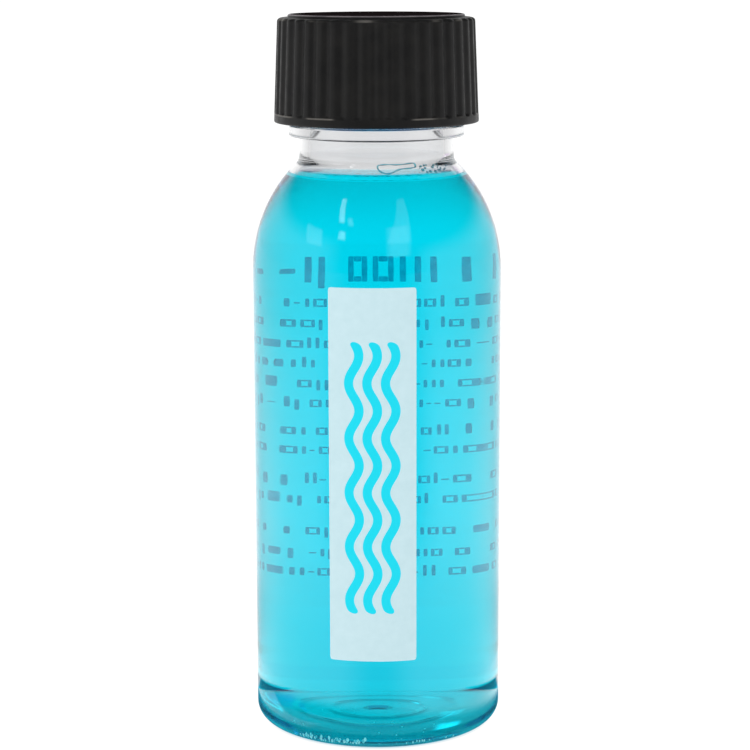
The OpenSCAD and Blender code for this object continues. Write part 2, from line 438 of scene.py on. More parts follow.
def wrap(name, u0, u1, z0, z1, mid_deg, r_in, r_out, nu, nz, corner=0.0):
    """A thin curved plate on the body, between arc lengths u0 and u1 (mm) and heights z0 and z1, with its middle at mid_deg seen from above."""
    us = np.linspace(u0, u1, nu + 1)
    zs = np.linspace(z0, z1, nz + 1)
    verts, faces = [], []
    idx = {}
    for layer, r in enumerate((r_in, r_out)):
        for i, u in enumerate(us):
            for j, z in enumerate(zs):
                uu, zz = u, z
                if corner > 0:
                    du = min(u - u0, u1 - u)
                    dz = min(z - z0, z1 - z)
                    if du < corner and dz < corner:
                        cu, cz = corner - du, corner - dz
                        m = max(cu, cz)
                        length = math.hypot(cu, cz)
                        if length > 1e-9:
                            cu, cz = cu * m / length, cz * m / length
                        su = 1 if u > (u0 + u1) / 2 else -1
                        sz = 1 if z > (z0 + z1) / 2 else -1
                        uu = (u1 - corner + cu) if su > 0 else (u0 + corner - cu)
                        zz = (z1 - corner + cz) if sz > 0 else (z0 + corner - cz)
                a = math.radians(mid_deg) + uu / R
                idx[layer, i, j] = len(verts)
                verts.append((r * math.cos(a) * MM, r * math.sin(a) * MM, zz * MM))
    for i in range(nu):
        for j in range(nz):
            q = [idx[1, i, j], idx[1, i + 1, j], idx[1, i + 1, j + 1], idx[1, i, j + 1]]
            faces.append(tuple(q))
            q = [idx[0, i, j], idx[0, i, j + 1], idx[0, i + 1, j + 1], idx[0, i + 1, j]]
            faces.append(tuple(q))
    for i in range(nu):
        faces.append((idx[0, i, 0], idx[0, i + 1, 0], idx[1, i + 1, 0], idx[1, i, 0]))
        faces.append((idx[1, i, nz], idx[1, i + 1, nz], idx[0, i + 1, nz], idx[0, i, nz]))
    for j in range(nz):
        faces.append((idx[1, 0, j], idx[1, 0, j + 1], idx[0, 0, j + 1], idx[0, 0, j]))
        faces.append((idx[0, nu, j], idx[0, nu, j + 1], idx[1, nu, j + 1], idx[1, nu, j]))
    return verts, faces


v, f = wrap("front_panel", -FRONT_W / 2, FRONT_W / 2, FRONT_Z, FRONT_Z + FRONT_H, 270 + FRONT_TURN, R + 0.012, R + LABEL_T, 36, 120, 0.25)
front = oriented(mesh_object("front_panel", v, f, sharp=40))

v, f = wrap("back_film", -BACK_W / 2, BACK_W / 2, BACK_Z, BACK_Z + BACK_H, 90, R + 0.012, R + LABEL_T - 0.03, 96, 36, 0.8)
back = oriented(mesh_object("back_film", v, f, sharp=40))

# rows of small plain ticks and dashes, printed on the back film: (height of the row's middle, height of its ticks)
rng = random.Random(20)
ROWS = [(52.0, 2.3), (48.55, 1.25), (46.05, 1.15), (43.55, 1.15), (41.2, 1.15), (38.75, 1.15), (36.35, 1.15), (32.95, 1.15),
        (30.6, 1.15), (27.0, 1.2), (24.5, 1.15), (20.6, 1.15), (17.9, 1.15), (15.5, 1.2)]
ink_v, ink_f = [], []


def stamp(x0, x1, z0, z1):
    v, f = wrap("bar", x0, x1, z0, z1, 90, R + LABEL_T - 0.028, R + LABEL_T - 0.012, 2, 2, min(0.06, (x1 - x0) * 0.3, (z1 - z0) * 0.3))
    off = len(ink_v)
    ink_v.extend(v)
    ink_f.extend(tuple(i + off for i in q) for q in f)


for row, (zc, hh) in enumerate(ROWS):
    k = 1.75 if row == 0 else 1.0
    stroke = 0.23 * k
    x = -13.2 + rng.random() * 0.8
    end = 13.2 - rng.random() * (0.6 if row not in (6, 8, 10, 13) else 7.0)
    while x < end:
        run = x + rng.uniform(2.0, 5.2) * k       # one group of marks
        while x < min(run, end):
            kind = rng.random()
            low = zc - hh / 2
            if kind < 0.5:        # a tick, some of them short or tall
                h0, h1 = rng.choice(((0.0, 0.8), (0.0, 0.8), (0.0, 1.1), (-0.3, 0.8)))
                stamp(x, x + stroke, low + h0 * hh, low + h1 * hh)
                x += stroke + rng.uniform(0.2, 0.32) * k
            elif kind < 0.85:     # a plain open box
                wd, t = rng.uniform(0.62, 0.85) * k, 0.17 * hh
                stamp(x, x + stroke * 0.9, low, low + 0.8 * hh)
                stamp(x + wd - stroke * 0.9, x + wd, low, low + 0.8 * hh)
                stamp(x + stroke * 0.9, x + wd - stroke * 0.9, low, low + t)
                stamp(x + stroke * 0.9, x + wd - stroke * 0.9, low + 0.8 * hh - t, low + 0.8 * hh)
                x += wd + rng.uniform(0.16, 0.26) * k
            else:                 # a dash at half height
                wd = rng.uniform(0.3, 0.45) * k
                stamp(x, x + wd, low + 0.3 * hh, low + 0.45 * hh)
                x += wd + rng.uniform(0.14, 0.22) * k
        x += rng.uniform(0.35, 0.6) * k
bars = oriented(mesh_object("back_print", ink_v, ink_f, sharp=40))

# ------------------------------------------------------------------ the cap
RIBS = 40
PHASE = 0.78


def build_cap():
    step = 360.0 / RIBS
    local = [i / 16 for i in range(16)]
    deg = np.array([(k + PHASE - 0.5 + t) * step for k in range(RIBS) for t in local])
    ang = np.radians(deg)
    # distance, in shares of a rib's pitch, from the middle of the nearest groove
    share = np.array([abs(t - 0.5) for k in range(RIBS) for t in local])
    groove = 0.5 + 0.5 * np.cos(np.minimum(share / 0.42, 1.0) * math.pi)   # 1 in the groove's middle, 0 on the rib
    crown = 0.05 * (1 - ((0.5 - share) / 0.27) ** 2 * (share > 0.23))

    def side_r(z):
        t = (z - CAP_Z) / (SHELF_Z - 0.5 - CAP_Z)
        return CAP_R - (CAP_R - RIB_TOP_R) * min(1.0, max(0.0, t))

    rings = []
    # bottom edge and plain band
    rings += [(CAP_BORE_R + 0.35, CAP_Z)]
    rings += [(CAP_R - 0.3, CAP_Z), (CAP_R - 0.16, CAP_Z + 0.01), (CAP_R - 0.07, CAP_Z + 0.05), (CAP_R - 0.02, CAP_Z + 0.12)]
    for z in np.linspace(CAP_Z + 0.22, CAP_Z + 0.82, 5):
        rings.append((side_r(z), z))
    # the grooves start above the band with a rounded sill
    z_lo, z_hi = CAP_Z + 0.86, SHELF_Z - 0.12
    zs = list(np.linspace(z_lo, z_lo + 0.5, 9)) + list(np.linspace(z_lo + 0.9, z_hi - 1.3, 14)) + list(np.linspace(z_hi - 0.9, z_hi - 0.5, 3))
    depth = 0.27
    for z in zs:
        rise = smoothstep(np.array((z - z_lo) / 0.42))
        r = side_r(z)
        rings.append((r - depth * groove * rise + 0.0 * crown, np.full(len(ang), z)))
    # rounded shoulder: ribs turn over onto the shelf, grooves run out through it
    for a in np.linspace(0, 82, 9):
        ra = math.radians(a)
        r = RIB_TOP_R - 0.55 + 0.55 * math.cos(ra)
        z = SHELF_Z - 0.5 + 0.44 * math.sin(ra)
        k = 1 - 0.75 * smoothstep(np.array(a / 82.0))
        rings.append((r - depth * groove * k, z - 0.10 * groove * smoothstep(np.array(a / 60.0)) * k))
    rings += [(DISC_R + 0.35, SHELF_Z - 0.03), (DISC_R + 0.12, SHELF_Z - 0.01)]
    # raised disc
    rings += [(DISC_R + 0.02, SHELF_Z + 0.02), (DISC_R - 0.02, SHELF_Z + 0.12), (DISC_R - 0.05, CAP_TOP - 0.12), (DISC_R - 0.1, CAP_TOP - 0.04),
              (DISC_R - 0.19, CAP_TOP - 0.005), (DISC_R - 0.32, CAP_TOP), (DISC_R - 0.9, CAP_TOP - 0.012), (DISC_R - 1.3, CAP_TOP - 0.03)]
    for r in (7.6, 6.0, 4.4, 2.8, 1.4):
        rings.append((r, CAP_TOP - 0.045))
    v, f = revolve(rings, ang)
    outer_n = len(rings)
    # inside: from the mouth up the bore, with its thread, to the ceiling
    ins = [(CAP_BORE_R + 0.18, CAP_Z + 0.03), (CAP_BORE_R + 0.06, CAP_Z + 0.14), (CAP_BORE_R, CAP_Z + 0.35)]
    z0 = THREAD_Z - PITCH / 2 + 0.42 + PITCH * CAP_START / 360
    z = CAP_Z + 0.5
    while z < CEILING_Z - 0.35:
        h = thread_height(ang, z, z0, CAP_TURNS, CAP_START)
        ins.append((CAP_BORE_R - (CAP_BORE_R - NECK_R - 0.25) * h, np.full(len(ang), z)))
        z += 0.17
    ins += [(CAP_BORE_R, CEILING_Z - 0.3), (CAP_BORE_R - 0.1, CEILING_Z - 0.1), (CAP_BORE_R - 0.3, CEILING_Z), (7.0, CEILING_Z), (3.5, CEILING_Z)]
    all_rings = list(reversed(ins)) + rings
    v, f = revolve(all_rings, ang, start_pole=CEILING_Z, end_pole=CAP_TOP - 0.045)
    return v, f


v, f = build_cap()
cap = oriented(mesh_object("ribbed_cap", v, f, sharp=50))

# ------------------------------------------------------------------ materials


def new_mat(name):
    m = bpy.data.materials.new(name)
    m.use_nodes = True
    nt = m.node_tree
    for n in list(nt.nodes):
        nt.nodes.remove(n)
    out = nt.nodes.new("ShaderNodeOutputMaterial")
    bsdf = nt.nodes.new("ShaderNodeBsdfPrincipled")
    nt.links.new(bsdf.outputs["BSDF"], out.inputs["Surface"])
    return m, nt, bsdf, out


def noise(nt, scale, detail=2.0, rough=0.5, coords=None, stretch=None):
    tc = coords or nt.nodes.new("ShaderNodeTexCoord").outputs["Object"]
    if stretch:
        mp = nt.nodes.new("ShaderNodeMapping")
        mp.inputs["Scale"].default_value = stretch
        nt.links.new(tc, mp.inputs["Vector"])
        tc = mp.outputs["Vector"]
    n = nt.nodes.new("ShaderNodeTexNoise")
    n.inputs["Scale"].default_value = scale
    n.inputs["Detail"].default_value = detail
    n.inputs["Roughness"].default_value = rough
    nt.links.new(tc, n.inputs["Vector"])
    return n.outputs["Fac"]


def remap(nt, value, a, b, c, d, smooth=False):
    m = nt.nodes.new("ShaderNodeMapRange")
    if smooth:
        m.interpolation_type = "SMOOTHSTEP"
    m.inputs["From Min"].default_value = a
    m.inputs["From Max"].default_value = b
    m.inputs["To Min"].default_value = c
    m.inputs["To Max"].default_value = d
    nt.links.new(value, m.inputs["Value"])
    return m.outputs["Result"]


def math_node(nt, op, a, b=None, c=None):
    m = nt.nodes.new("ShaderNodeMath")
    m.operation = op
    for i, x in enumerate((a, b, c)):
        if x is None:
            continue
        if isinstance(x, (int, float)):
            m.inputs[i].default_value = x
        else:
            nt.links.new(x, m.inputs[i])
    return m.outputs[0]


def bump(nt, bsdf, height, strength, distance):
    b = nt.nodes.new("ShaderNodeBump")
    b.inputs["Strength"].default_value = strength
    b.inputs["Distance"].default_value = distance
    nt.links.new(height, b.inputs["Height"])
    nt.links.new(b.outputs["Normal"], bsdf.inputs["Normal"])
    return b


# clear plastic: faint waviness from blowing, a slight change of gloss, and greyer towards the top
def pet(name, tint, ior, low, high, clear, grey):
    m, nt, b, out = new_mat(name)
    sep = nt.nodes.new("ShaderNodeSeparateXYZ")
    nt.links.new(nt.nodes.new("ShaderNodeTexCoord").outputs["Object"], sep.inputs[0])
    upper_grey = nt.nodes.new("ShaderNodeMix")
    upper_grey.data_type = "RGBA"
    upper_grey.inputs["A"].default_value = clear + (1,)
    upper_grey.inputs["B"].default_value = grey + (1,)
    nt.links.new(remap(nt, sep.outputs["Z"], low, high, 0.0, 1.0, smooth=True), upper_grey.inputs["Factor"])
    nt.links.new(upper_grey.outputs["Result"], b.inputs["Base Color"])
    b.inputs["Transmission Weight"].default_value = 1.0
    b.inputs["IOR"].default_value = ior
    b.inputs["Specular Tint"].default_value = tint
    nt.links.new(remap(nt, noise(nt, 260.0, 2.0), 0.3, 0.7, 0.0, 0.035), b.inputs["Roughness"])
    bump(nt, b, noise(nt, 90.0, 1.0, 0.4, stretch=(1, 1, 0.35)), 0.12, 0.0004)
    return m


m_pet = pet("clear_pet", (1, 1, 1, 1), 1.5, 0.0652, 0.0678, (0.975, 0.98, 0.985), (0.845, 0.85, 0.858))
# full of liquid, the wall takes up some of its blue
m_low = pet("clear_pet_body", (1, 1, 1, 1), 1.42, 0.058, 0.0655, (0.40, 0.955, 0.985), (0.40, 0.63, 0.66))
# where the liquid wets the wall almost nothing is reflected
m_wet = pet("clear_pet_wetted", (0, 0, 0, 1), 1.42, 0.059, 0.0655, (0.975, 0.98, 0.985), (0.8, 0.805, 0.81))

# blue liquid: clear, coloured by depth
m_liq, nt, b, out = new_mat("blue_liquid")
b.inputs["Base Color"].default_value = (1, 1, 1, 1)
b.inputs["Transmission Weight"].default_value = 1.0
b.inputs["IOR"].default_value = 1.34
b.inputs["Roughness"].default_value = 0.0
b.inputs["Specular Tint"].default_value = (0, 0, 0, 1)
bump(nt, b, noise(nt, 120.0, 1.0, 0.4), 0.05, 0.0003)
vol = nt.nodes.new("ShaderNodeVolumeAbsorption")
vol.inputs["Color"].default_value = (0.0, 0.9557, 0.9823, 1)
vol.inputs["Density"].default_value = 300.0
nt.links.new(vol.outputs["Volume"], out.inputs["Volume"])

# black moulded plastic with a mottled tone
def black(name, dark, light, rough, spec):
    m, nt, b, out = new_mat(name)
    tc = nt.nodes.new("ShaderNodeTexCoord").outputs["Object"]
    mixc = nt.nodes.new("ShaderNodeMix")
    mixc.data_type = "RGBA"
    mixc.inputs["A"].default_value = dark + (1,)
    mixc.inputs["B"].default_value = light + (1,)
    nt.links.new(remap(nt, noise(nt, 420.0, 4.0, 0.6, coords=tc), 0.35, 0.65, 0, 1), mixc.inputs["Factor"])
    nt.links.new(mixc.outputs["Result"], b.inputs["Base Color"])
    nt.links.new(remap(nt, noise(nt, 900.0, 3.0, 0.6, coords=tc), 0.3, 0.7, rough[0], rough[1]), b.inputs["Roughness"])
    b.inputs["Specular IOR Level"].default_value = spec
    bump(nt, b, noise(nt, 4200.0, 3.0, 0.6, coords=tc), 0.25, 0.00003)
    return m, nt, b, mixc


m_cap, nt, b, mixc = black("cap_plastic", (0.0110, 0.0110, 0.0112), (0.0150, 0.0147, 0.0143), (0.36, 0.5), 0.11)
# painted glints: pale lines in patches where the ribs meet the band and where they turn over at the top
tc = nt.nodes.new("ShaderNodeTexCoord").outputs["Object"]
sep = nt.nodes.new("ShaderNodeSeparateXYZ")
nt.links.new(tc, sep.inputs[0])
zz = math_node(nt, "MULTIPLY", sep.outputs["Z"], 1000.0)
sill = math_node(nt, "ABSOLUTE", math_node(nt, "SUBTRACT", zz, CAP_Z + 0.97))
crown = math_node(nt, "ABSOLUTE", math_node(nt, "SUBTRACT", zz, SHELF_Z - 0.22))
sill_glint = remap(nt, sill, 0.03, 0.13, 1.0, 0.0, smooth=True)
crown_glint = remap(nt, crown, 0.06, 0.2, 0.8, 0.0, smooth=True)
where = remap(nt, noise(nt, 190.0, 2.0, 0.5, coords=tc, stretch=(1, 1, 0.2)), 0.50, 0.60, 0.0, 1.0, smooth=True)
painted_glint = math_node(nt, "MULTIPLY", math_node(nt, "MAXIMUM", sill_glint, crown_glint), where)
glint_mix = nt.nodes.new("ShaderNodeMix")
glint_mix.data_type = "RGBA"
nt.links.new(math_node(nt, "MULTIPLY", painted_glint, 0.75), glint_mix.inputs["Factor"])
nt.links.new(mixc.outputs["Result"], glint_mix.inputs["A"])
# the pale colour of the painted glints
glint_mix.inputs["B"].default_value = (0.15, 0.142, 0.13, 1)
nt.links.new(glint_mix.outputs["Result"], b.inputs["Base Color"])
# painted shade: the disc's top face, a darker copy of the cap plastic with no reflection
m_top_shade, nt, b, mixc = black("cap_plastic_top_painted_shade", (0.006, 0.0042, 0.0045), (0.015, 0.0105, 0.0112), (0.55, 0.7), 0.0)
# painted highlight: a pale ring on the rounded edge of the disc
m_edge_highlight, nt, b, mixc = black("cap_plastic_edge_painted_highlight", (0.10, 0.09, 0.10), (0.20, 0.18, 0.19), (0.4, 0.55), 0.3)

# foam liner
m_liner, nt, b, out = new_mat("liner_foam")
tc = nt.nodes.new("ShaderNodeTexCoord").outputs["Object"]
vor = nt.nodes.new("ShaderNodeTexVoronoi")
vor.inputs["Scale"].default_value = 3800.0
nt.links.new(tc, vor.inputs["Vector"])
mixc = nt.nodes.new("ShaderNodeMix")
mixc.data_type = "RGBA"
mixc.inputs["A"].default_value = (0.62, 0.62, 0.58, 1)
mixc.inputs["B"].default_value = (0.78, 0.78, 0.74, 1)
nt.links.new(remap(nt, vor.outputs["Distance"], 0.1, 0.7, 0, 1), mixc.inputs["Factor"])
nt.links.new(mixc.outputs["Result"], b.inputs["Base Color"])
nt.links.new(remap(nt, noise(nt, 700.0, 2.0, coords=tc), 0.3, 0.7, 0.55, 0.75), b.inputs["Roughness"])
bump(nt, b, vor.outputs["Distance"], 0.5, 0.00006)

# front panel: pale satin film with a plain wave design in cyan
m_front, nt, b, out = new_mat("label_panel")
tc = nt.nodes.new("ShaderNodeTexCoord").outputs["Object"]
sep = nt.nodes.new("ShaderNodeSeparateXYZ")
nt.links.new(tc, sep.inputs[0])
neg_y = math_node(nt, "MULTIPLY", sep.outputs["Y"], -1.0)
theta = math_node(nt, "ARCTAN2", sep.outputs["X"], neg_y)
u = math_node(nt, "ADD", math_node(nt, "MULTIPLY", theta, R), math.radians(-FRONT_TURN) * R)   # mm across the panel
w = math_node(nt, "MULTIPLY", sep.outputs["Z"], 1000.0)                                        # mm up
PRINT_Z0, PRINT_Z1 = 16.25, 47.3            # ends of the printed waves
WAVE, RISE, GAP, HALF = 6.21, 0.58, 2.05, 0.52   # wave length, swing, distance between stripes and half their width
phase = math_node(nt, "MULTIPLY", math_node(nt, "SUBTRACT", w, PRINT_Z0), TAU / WAVE)
wave = math_node(nt, "MULTIPLY", math_node(nt, "SINE", phase), RISE)
slope = math_node(nt, "MULTIPLY", math_node(nt, "COSINE", phase), RISE * TAU / WAVE)
uw = math_node(nt, "ADD", u, wave)
near = math_node(nt, "MULTIPLY", math_node(nt, "ROUND", math_node(nt, "DIVIDE", uw, GAP)), GAP)
near = math_node(nt, "MINIMUM", math_node(nt, "MAXIMUM", near, -GAP), GAP)
across = math_node(nt, "DIVIDE", math_node(nt, "SUBTRACT", uw, near),
                   math_node(nt, "SQRT", math_node(nt, "ADD", math_node(nt, "MULTIPLY", slope, slope), 1.0)))
past = math_node(nt, "MAXIMUM", math_node(nt, "MAXIMUM", math_node(nt, "SUBTRACT", w, PRINT_Z1 - HALF),
                                          math_node(nt, "SUBTRACT", PRINT_Z0 + HALF, w)), 0.0)
away = math_node(nt, "SQRT", math_node(nt, "ADD", math_node(nt, "MULTIPLY", across, across), math_node(nt, "MULTIPLY", past, past)))
mask = remap(nt, away, HALF - 0.015, HALF + 0.015, 1.0, 0.0)
paper = nt.nodes.new("ShaderNodeMix")
paper.data_type = "RGBA"
paper.inputs["A"].default_value = (0.56, 0.765, 0.82, 1)
paper.inputs["B"].default_value = (0.60, 0.80, 0.855, 1)
nt.links.new(remap(nt, noise(nt, 900.0, 4.0, 0.6, coords=tc), 0.3, 0.7, 0, 1), paper.inputs["Factor"])
ink = nt.nodes.new("ShaderNodeMix")
ink.data_type = "RGBA"
nt.links.new(mask, ink.inputs["Factor"])
nt.links.new(paper.outputs["Result"], ink.inputs["A"])
ink.inputs["B"].default_value = (0.0, 0.72, 0.89, 1)
nt.links.new(ink.outputs["Result"], b.inputs["Base Color"])
nt.links.new(remap(nt, noise(nt, 1500.0, 2.0, coords=tc), 0.3, 0.7, 0.42, 0.55), b.inputs["Roughness"])
b.inputs["Specular IOR Level"].default_value = 0.35
bump(nt, b, noise(nt, 2600.0, 2.0, coords=tc), 0.15, 0.00002)

# its back, seen through the bottle from behind: a painted glow in pale teal, emission standing in for the light in the
# liquid
m_lining_glow, nt, b, out = new_mat("label_panel_back_painted_glow")
tone = nt.nodes.new("ShaderNodeMix")
tone.data_type = "RGBA"
tone.inputs["A"].default_value = (0.30, 0.50, 0.53, 1)
tone.inputs["B"].default_value = (0.36, 0.58, 0.61, 1)
nt.links.new(remap(nt, noise(nt, 700.0, 3.0), 0.3, 0.7, 0, 1), tone.inputs["Factor"])
nt.links.new(tone.outputs["Result"], b.inputs["Base Color"])
nt.links.new(tone.outputs["Result"], b.inputs["Emission Color"])
b.inputs["Emission Strength"].default_value = 1.0
nt.links.new(remap(nt, noise(nt, 1500.0, 2.0), 0.3, 0.7, 0.5, 0.65), b.inputs["Roughness"])

# clear film on the back, with rows of small plain bars in a dark teal ink
m_film, nt, b, out = new_mat("clear_film")
b.inputs["Base Color"].default_value = (0.9, 0.95, 0.97, 1)
b.inputs["Roughness"].default_value = 0.25
b.inputs["Specular IOR Level"].default_value = 0.2
tc = nt.nodes.new("ShaderNodeTexCoord").outputs["Object"]
nt.links.new(remap(nt, noise(nt, 700.0, 3.0, coords=tc), 0.3, 0.7, 0.004, 0.018), b.inputs["Alpha"])

m_ink, nt, b, out = new_mat("teal_ink")
tc = nt.nodes.new("ShaderNodeTexCoord").outputs["Object"]
tone = nt.nodes.new("ShaderNodeMix")
tone.data_type = "RGBA"
tone.inputs["A"].default_value = (0.0, 0.40, 0.50, 1)
tone.inputs["B"].default_value = (0.03, 0.54, 0.64, 1)
nt.links.new(remap(nt, noise(nt, 1800.0, 3.0, coords=tc), 0.3, 0.7, 0, 1), tone.inputs["Factor"])
nt.links.new(tone.outputs["Result"], b.inputs["Base Color"])
nt.links.new(remap(nt, noise(nt, 2400.0, 2.0, coords=tc), 0.3, 0.7, 0.0, 0.08), b.inputs["Roughness"])
b.inputs["Transmission Weight"].default_value = 1.0
b.inputs["IOR"].default_value = 1.2
b.inputs["Specular Tint"].default_value = (0, 0, 0, 1)

# thin films and beads of the liquid that cling to the wall
m_film_blue, nt, b, out = new_mat("liquid_beads")
tone = nt.nodes.new("ShaderNodeMix")
tone.data_type = "RGBA"
tone.inputs["A"].default_value = (0.10, 0.55, 0.66, 1)
tone.inputs["B"].default_value = (0.45, 0.80, 0.86, 1)
nt.links.new(remap(nt, noise(nt, 1500.0, 2.0), 0.35, 0.65, 0, 1), tone.inputs["Factor"])
nt.links.new(tone.outputs["Result"], b.inputs["Base Color"])
b.inputs["Transmission Weight"].default_value = 1.0
b.inputs["IOR"].default_value = 1.25
nt.links.new(remap(nt, noise(nt, 900.0, 2.0), 0.3, 0.7, 0.0, 0.03), b.inputs["Roughness"])

# tiny bubbles that cling low down in the liquid: pale, with a painted glint, as they glow faintly
m_fizz_glint, nt, b, out = new_mat("bubbles")
tone = nt.nodes.new("ShaderNodeMix")
tone.data_type = "RGBA"
tone.inputs["A"].default_value = (0.10, 0.55, 0.66, 1)
tone.inputs["B"].default_value = (0.55, 0.88, 0.94, 1)
nt.links.new(remap(nt, noise(nt, 5200.0, 1.0), 0.42, 0.58, 0, 1), tone.inputs["Factor"])
nt.links.new(tone.outputs["Result"], b.inputs["Base Color"])
nt.links.new(tone.outputs["Result"], b.inputs["Emission Color"])
b.inputs["Emission Strength"].default_value = 0.75
nt.links.new(remap(nt, noise(nt, 2400.0, 1.0), 0.3, 0.7, 0.15, 0.3), b.inputs["Roughness"])
fizz.data.materials.append(m_fizz_glint)

bottle.data.materials.append(m_pet)
bottle.data.materials.append(m_wet)
bottle.data.materials.append(m_low)
for poly in bottle.data.polygons:
    c = poly.center / MM
    r_c = math.hypot(c.x, c.y)
    outward = (poly.normal.x * c.x + poly.normal.y * c.y) / max(r_c, 1e-6)
    low = c.z < 4.0
    if c.z < WET_Z and ((low and poly.normal.z > 0.02 and c.z > 0.55) or (not low and outward < -0.02)):
        poly.material_index = 1
    elif c.z < WET_Z:
        poly.material_index = 2
liquid.data.materials.append(m_liq)
beads.data.materials.append(m_film_blue)
front.data.materials.append(m_front)
front.data.materials.append(m_lining_glow)
for poly in front.data.polygons:
    if poly.normal.x * poly.center.x + poly.normal.y * poly.center.y < -0.5 * math.hypot(poly.center.x, poly.center.y):
        poly.material_index = 1
back.data.materials.append(m_film)
bars.data.materials.append(m_ink)
cap.data.materials.append(m_cap)
cap.data.materials.append(m_top_shade)
cap.data.materials.append(m_edge_highlight)
for poly in cap.data.polygons:
    c = poly.center / MM
    r_c = math.hypot(c.x, c.y)
    # the disc's top face takes the painted shade
    if c.z > CAP_TOP - 0.1 and poly.normal.z > 0.9 and r_c < DISC_R - 0.3:
        poly.material_index = 1
    # the disc's rounded edge takes the painted highlight
    elif c.z > CAP_TOP - 0.14 and r_c > DISC_R - 0.3:
        poly.material_index = 2
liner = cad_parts["cap_liner"]
liner.data.materials.clear()
liner.data.materials.append(m_liner)

for ob, body, node, slot in ((bottle, "bottle_body", "bottle", "clear_pet"), (liquid, "bottle_body", "liquid", "blue_liquid"),
                             (front, "bottle_body", "front_label", "label_panel"), (back, "bottle_body", "back_label", "clear_film"),
                             (cap, "cap_body", "cap", "cap_plastic")):
    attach(ob, body)
    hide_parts(node)
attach(bars, "bottle_body")
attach(fizz, "bottle_body")
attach(beads, "bottle_body")

# ------------------------------------------------------------------ floor, world, lights
n = 96
floor_v = [(0, 0, 0)]
radii = [0.02, 0.04, 0.08, 0.2, 0.6, 2.0, 8.0]
for r in radii:
    for i in range(n):
        floor_v.append((r * math.cos(TAU * i / n), r * math.sin(TAU * i / n), -0.00001))
floor_v[0] = (0, 0, -0.00001)
floor_f = [(0, 1 + i, 1 + (i + 1) % n) for i in range(n)]
for k in range(len(radii) - 1):
    for i in range(n):
        a, c = 1 + k * n, 1 + (k + 1) * n
        j = (i + 1) % n
        floor_f.append((a + i, c + i, c + j, a + j))
floor = mesh_object("floor", floor_v, floor_f, smooth=False)
m_floor, nt, b, out = new_mat("floor_white")


def compass(nt, vec):
    """Turn from -Y towards +X in degrees, and height above the level in degrees, of a direction."""
    nrm = nt.nodes.new("ShaderNodeVectorMath")
    nrm.operation = "NORMALIZE"
    nt.links.new(vec, nrm.inputs[0])
    sp = nt.nodes.new("ShaderNodeSeparateXYZ")
    nt.links.new(nrm.outputs["Vector"], sp.inputs[0])
    turn = math_node(nt, "MULTIPLY", math_node(nt, "ARCTAN2", sp.outputs["X"], math_node(nt, "MULTIPLY", sp.outputs["Y"], -1.0)), 360 / TAU)
    rise = math_node(nt, "MULTIPLY", math_node(nt, "ARCSINE", sp.outputs["Z"]), 360 / TAU)
    return turn, rise


def window(nt, value, lo, hi, edge_lo, edge_hi):
    """1 between lo and hi, fading to 0 over the edges outside them."""
    a = remap(nt, value, lo - edge_lo, lo, 0.0, 1.0, smooth=True)
    c = remap(nt, value, hi, hi + edge_hi, 1.0, 0.0, smooth=True)
    return math_node(nt, "MULTIPLY", a, c)


b.inputs["Base Color"].default_value = (0.05, 0.05, 0.05, 1)
b.inputs["Roughness"].default_value = 0.9
b.inputs["Specular IOR Level"].default_value = 0.0
tc = nt.nodes.new("ShaderNodeTexCoord").outputs["Object"]
ln = nt.nodes.new("ShaderNodeVectorMath")
ln.operation = "LENGTH"
nt.links.new(tc, ln.inputs[0])
far = ln.outputs["Value"]
turn, _ = compass(nt, tc)
side = math_node(nt, "ABSOLUTE", turn)
# what mirrors see: the white floor to the sides and behind, dark towards the front and in the bottle's own shade
ahead = remap(nt, side, 22.0, 62.0, 1.0, 0.0, smooth=True)
shade_c = nt.nodes.new("ShaderNodeVectorMath")
shade_c.operation = "ADD"
nt.links.new(tc, shade_c.inputs[0])
shade_c.inputs[1].default_value = (0.003, 0.005, 0.0)
shade_l = nt.nodes.new("ShaderNodeVectorMath")
shade_l.operation = "LENGTH"
nt.links.new(shade_c.outputs["Vector"], shade_l.inputs[0])
shade = remap(nt, shade_l.outputs["Value"], 0.0215, 0.0262, 0.0, 1.0, smooth=True)
# a bright patch of light lies in the shade, close in at the left
px = nt.nodes.new("ShaderNodeSeparateXYZ")
nt.links.new(tc, px.inputs[0])
slant = math_node(nt, "ADD", math_node(nt, "ADD", px.outputs["Y"], math_node(nt, "MULTIPLY", px.outputs["X"], 1.33)), 0.0354)
patch = math_node(nt, "MULTIPLY", remap(nt, slant, -0.0005, 0.0009, 0.0, 1.0, smooth=True), remap(nt, px.outputs["X"], -0.015, -0.012, 1.0, 0.0, smooth=True))
patch = math_node(nt, "MULTIPLY", patch, remap(nt, far, 0.0184, 0.0196, 0.0, 0.6, smooth=True))
shade = math_node(nt, "MAXIMUM", shade, patch)
near_f = math_node(nt, "MULTIPLY", remap(nt, far, 0.05, 0.14, 1.0, 0.0, smooth=True), remap(nt, side, 4.0, 34.0, 0.25, 0.95, smooth=True))
mirror = math_node(nt, "SUBTRACT", 1.0, math_node(nt, "MULTIPLY", ahead, math_node(nt, "SUBTRACT", 1.0, near_f)))
# painted light and shade on the floor, for mirrors: brighter out to about a third of a metre apart from straight
# behind, and darker in a ring 34 to 55 mm out
boost = math_node(nt, "MULTIPLY", remap(nt, far, 0.10, 0.33, 0.68, 0.0, smooth=True), remap(nt, side, 96.0, 134.0, 1.0, 0.0, smooth=True))
boost = math_node(nt, "ADD", boost, math_node(nt, "MULTIPLY", window(nt, far, 0.11, 0.26, 0.05, 0.08), remap(nt, side, 116.0, 138.0, 0.40, 0.0, smooth=True)))
boost = math_node(nt, "SUBTRACT", boost, math_node(nt, "MULTIPLY", window(nt, far, 0.034, 0.055, 0.004, 0.02), 0.24))
mirror = math_node(nt, "MULTIPLY", mirror, math_node(nt, "ADD", boost, 1.2))
mirror = math_node(nt, "ADD", math_node(nt, "MULTIPLY", mirror, shade), math_node(nt, "SUBTRACT", 1.0, shade))
